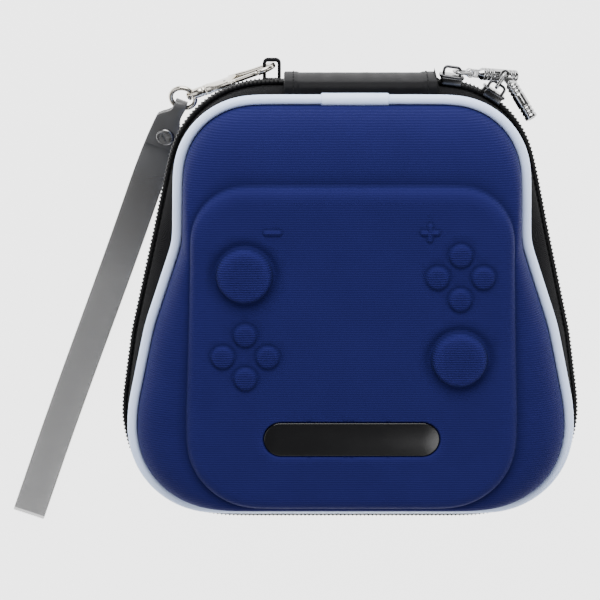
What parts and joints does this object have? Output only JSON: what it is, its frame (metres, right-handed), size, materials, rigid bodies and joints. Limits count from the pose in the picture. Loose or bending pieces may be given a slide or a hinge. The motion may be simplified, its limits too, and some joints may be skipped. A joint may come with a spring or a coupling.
{
  "type": "controller carrying case",
  "caption": "Hard zip case moulded for a game controller, with a raised controller form, white piping, a hinge spine and a wrist strap on a swivel clasp.",
  "frame": {"origin": "middle of the flat back, on the face that the case rests on", "axes": "+Z out of the front face, +Y towards the hinge spine, +X to the right as seen from the front"},
  "size_m": [0.2127, 0.1859, 0.0723],
  "materials": {
    "blue_fabric": "fine ribbed knit over pressed foam",
    "badge_black": "satin black",
    "piping_white": "smooth",
    "black_tape": "woven",
    "black_coil": "moulded",
    "black_spine": "smooth coated cloth",
    "bright_metal": "polished plating",
    "pull_metal": "polished, dark in its grooves",
    "steel_wire": "drawn",
    "smoke_strap": "smoke, see-through",
    "dark_metal": "black plating"
  },
  "bodies": {
    "case_base": {"rear_shell": "blue_fabric", "rear_piping": "piping_white", "rear_piping_sleeve": "piping_white", "rear_zip_tape": "black_tape", "rear_zip_coil": "black_coil", "rear_binding": "black_tape", "strap_tab": "black_tape"},
    "spine": {"hinge_spine": "black_spine"},
    "lid": {"front_shell": "blue_fabric", "front_badge": "badge_black", "front_piping": "piping_white", "front_piping_sleeve": "piping_white", "front_zip_tape": "black_tape", "front_zip_coil": "black_coil", "front_binding": "black_tape"},
    "slider_a": {"slider_a": "bright_metal"},
    "link_a": {"link_a": "bright_metal"},
    "pull_a": {"pull_a": "pull_metal"},
    "slider_b": {"slider_b": "bright_metal"},
    "link_b": {"link_b": "bright_metal"},
    "pull_b": {"pull_b": "pull_metal"},
    "clasp": {"clasp_hook": "bright_metal", "clasp_gate_pin": "steel_wire", "clasp_spring": "steel_wire"},
    "gate": {"clasp_gate": "bright_metal"},
    "ring": {"swivel_ring": "bright_metal"},
    "strap": {"wrist_strap": "smoke_strap", "strap_screw": "dark_metal", "strap_screw_post": "dark_metal"}
  },
  "joints": [
    {"name": "spine_fold", "type": "hinge", "parent": "case_base", "child": "spine", "pos_m": [0, 0.0854, 0.0225], "axis": [-1, 0, 0], "range_deg": [0, 90]},
    {"name": "lid_fold", "type": "hinge", "parent": "spine", "child": "lid", "pos_m": [0, 0.0854, 0.0495], "axis": [-1, 0, 0], "range_deg": [0, 90], "deforming": ["front_zip_tape", "front_zip_coil"]},
    {"name": "slider_a_run", "type": "hinge", "parent": "case_base", "child": "slider_a", "pos_m": [0.03079, 0.0465, 0.036], "axis": [0, 0, 1], "range_deg": [-3, 0]},
    {"name": "slider_b_run", "type": "hinge", "parent": "case_base", "child": "slider_b", "pos_m": [0.03079, 0.0465, 0.036], "axis": [0, 0, 1], "range_deg": [-30, 0], "deforming": ["rear_zip_tape", "rear_zip_coil"]},
    {"name": "link_a_swing", "type": "hinge", "parent": "slider_a", "child": "link_a", "pos_m": [0.03751, 0.08565, 0.036], "axis": [0.3549, -0.0499, 0.9336], "range_deg": [0, 60]},
    {"name": "pull_a_swing", "type": "hinge", "parent": "link_a", "child": "pull_a", "pos_m": [0.04287, 0.08489, 0.03392], "axis": [0.3549, -0.0499, 0.9336], "range_deg": [0, 60]},
    {"name": "link_b_swing", "type": "hinge", "parent": "slider_b", "child": "link_b", "pos_m": [0.05241, 0.0798, 0.036], "axis": [-0.1549, 0.2479, 0.9563], "range_deg": [0, 10]},
    {"name": "pull_b_swing", "type": "hinge", "parent": "link_b", "child": "pull_b", "pos_m": [0.05555, 0.08462, 0.03526], "axis": [-0.1549, 0.2479, 0.9563], "range_deg": [0, 60]},
    {"name": "clasp_swing", "type": "hinge", "parent": "case_base", "child": "clasp", "pos_m": [-0.0288, 0.0868, 0.0302], "axis": [0, 0, -1], "range_deg": [0, 25]},
    {"name": "gate_swing", "type": "hinge", "parent": "clasp", "child": "gate", "pos_m": [-0.04589, 0.07949, 0.02628], "axis": [-0.3933, 0.9194, 0], "range_deg": [0, 20], "deforming": ["clasp_spring"]},
    {"name": "ring_swivel", "type": "hinge", "parent": "clasp", "child": "ring", "pos_m": [-0.062, 0.0726, 0.017], "axis": [-0.8635, -0.3693, -0.3433], "range_deg": [0, 12]},
    {"name": "strap_lift", "type": "hinge", "parent": "ring", "child": "strap", "pos_m": [-0.06335, 0.06878, 0.01482], "axis": [-0.9426, 0.3338, 0], "range_deg": [0, 20]}
  ],
  "couplings": [
    {"joint": "lid_fold", "follows": "spine_fold", "ratio": 1}
  ]
}
